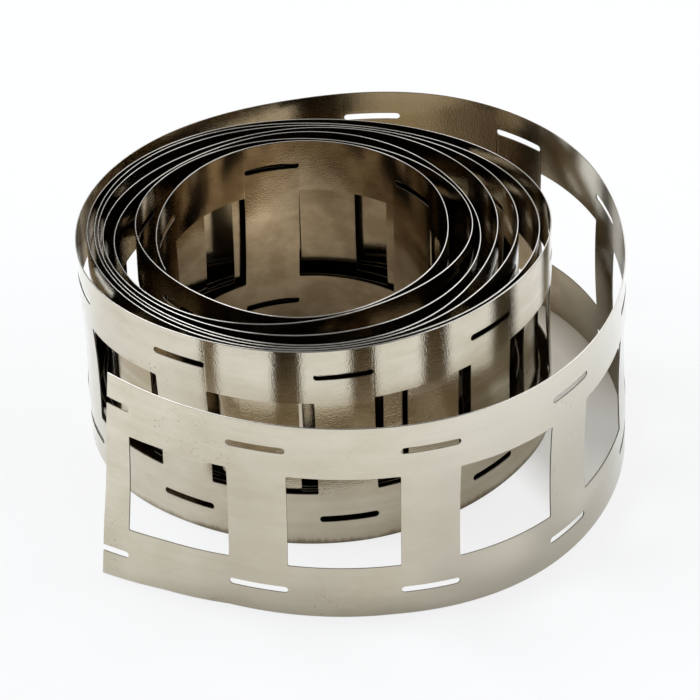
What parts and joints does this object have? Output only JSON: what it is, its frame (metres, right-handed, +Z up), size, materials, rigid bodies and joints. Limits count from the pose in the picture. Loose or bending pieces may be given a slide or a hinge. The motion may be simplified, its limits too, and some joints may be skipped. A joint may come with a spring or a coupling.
{
  "type": "nickel strip",
  "caption": "Punched ladder nickel strip for joining battery cells, loosely coiled on its edge, with rungs, windows and a slot in each rail over every rung.",
  "frame": {"origin": "middle of the coil's outline, on the surface the strip stands on", "axes": "+Z up along the coil's axis, -Y to the front where the free end is, +X to the right"},
  "size_m": [0.0658, 0.0758, 0.027],
  "materials": {
    "nickel": "satin rolled nickel, lightly brushed along its length"
  },
  "bodies": {
    "root": {"nickel_strip": "nickel"}
  },
  "joints": []
}
